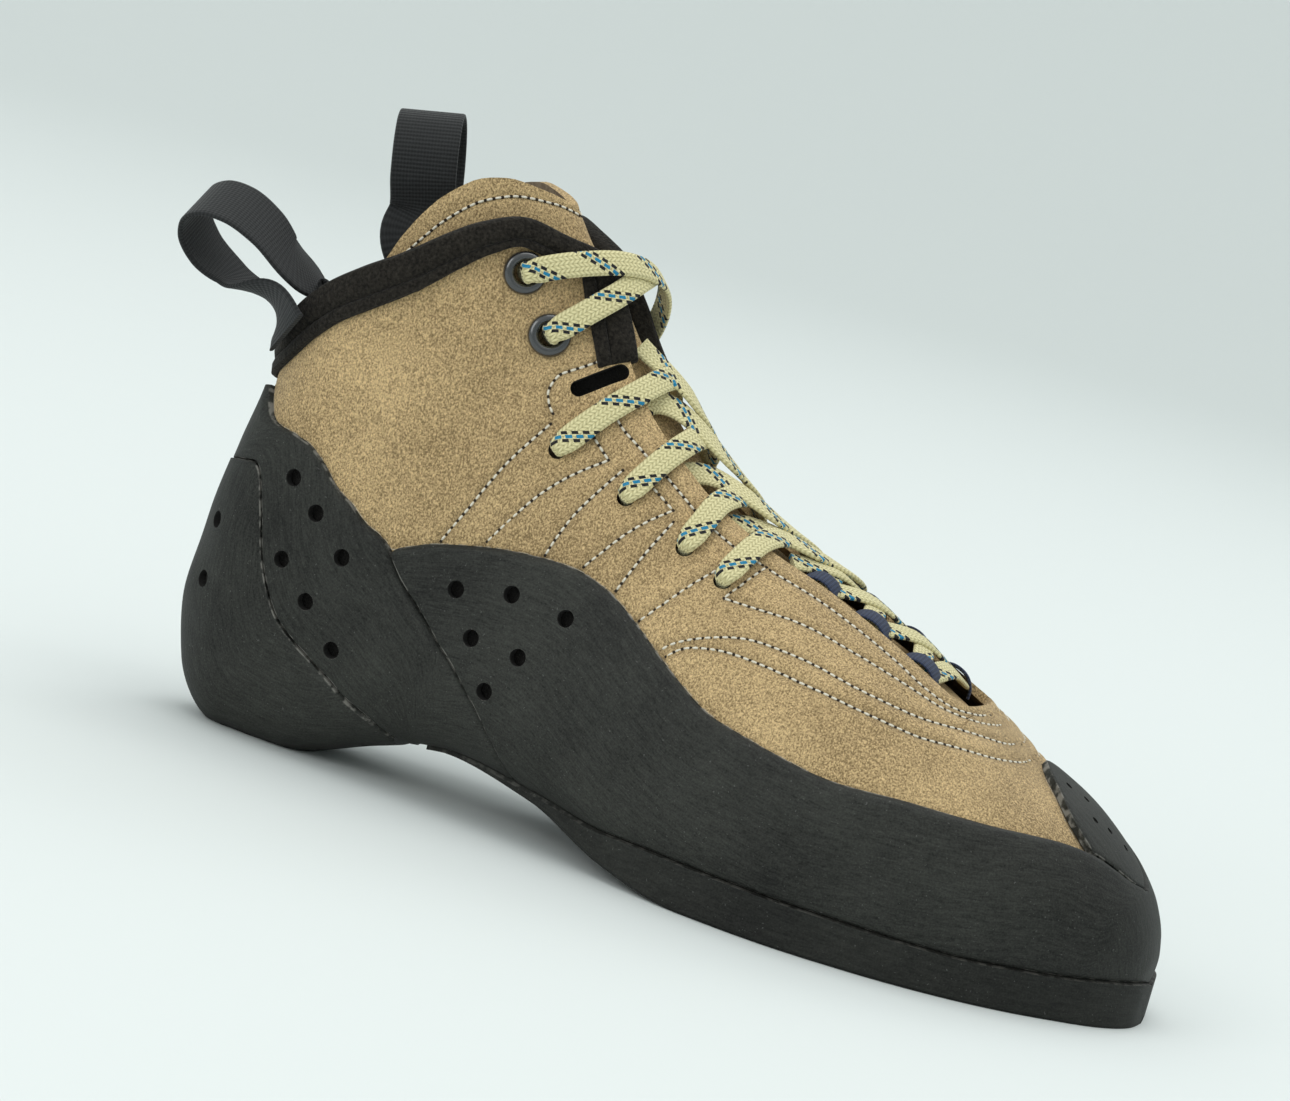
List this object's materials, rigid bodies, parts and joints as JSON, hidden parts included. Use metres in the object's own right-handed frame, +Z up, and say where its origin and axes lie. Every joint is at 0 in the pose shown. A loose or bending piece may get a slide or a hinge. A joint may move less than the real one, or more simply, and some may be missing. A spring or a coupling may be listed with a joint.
{
  "type": "climbing shoe",
  "caption": "Laced ankle-high climbing shoe for the right foot: suede upper, rubber rand, sole and heel cup, padded collar and webbing pull loops.",
  "frame": {"origin": "middle of the flat spot under the heel, on the floor", "axes": "+X towards the toe, +Y towards the inner side of the foot, +Z up"},
  "size_m": [0.2725, 0.089, 0.1594],
  "materials": {
    "suede": "napped suede",
    "sole_rubber": "ground edge, satin",
    "rand_rubber": "sanded, satin",
    "binding_cloth": "matt brushed cloth",
    "loop_tape": "woven tape",
    "lace_braid": "braided, with dark and blue tracers",
    "loop_webbing": "woven webbing",
    "eyelet_metal": "gloss black",
    "footbed": "smooth"
  },
  "bodies": {
    "root": {"upper": "suede", "outsole": "sole_rubber", "tongue": "suede", "insole": "footbed", "rand": "rand_rubber", "toe_patch": "rand_rubber", "heel_strap": "rand_rubber", "heel_cup": "rand_rubber", "collar_binding": "binding_cloth", "pull_loop_outer": "loop_tape", "pull_loop_inner": "loop_tape", "lace_1": "lace_braid", "lace_2": "lace_braid", "lace_3": "lace_braid", "lace_4": "lace_braid", "lace_5": "lace_braid", "lace_low": "lace_braid", "lace_loop_outer_1": "loop_webbing", "lace_loop_outer_2": "loop_webbing", "lace_loop_outer_3": "loop_webbing", "lace_loop_inner_1": "loop_webbing", "lace_loop_inner_2": "loop_webbing", "lace_loop_inner_3": "loop_webbing", "eyelet_outer_1": "eyelet_metal", "eyelet_outer_2": "eyelet_metal", "eyelet_inner_1": "eyelet_metal", "eyelet_inner_2": "eyelet_metal"}
  },
  "joints": []
}
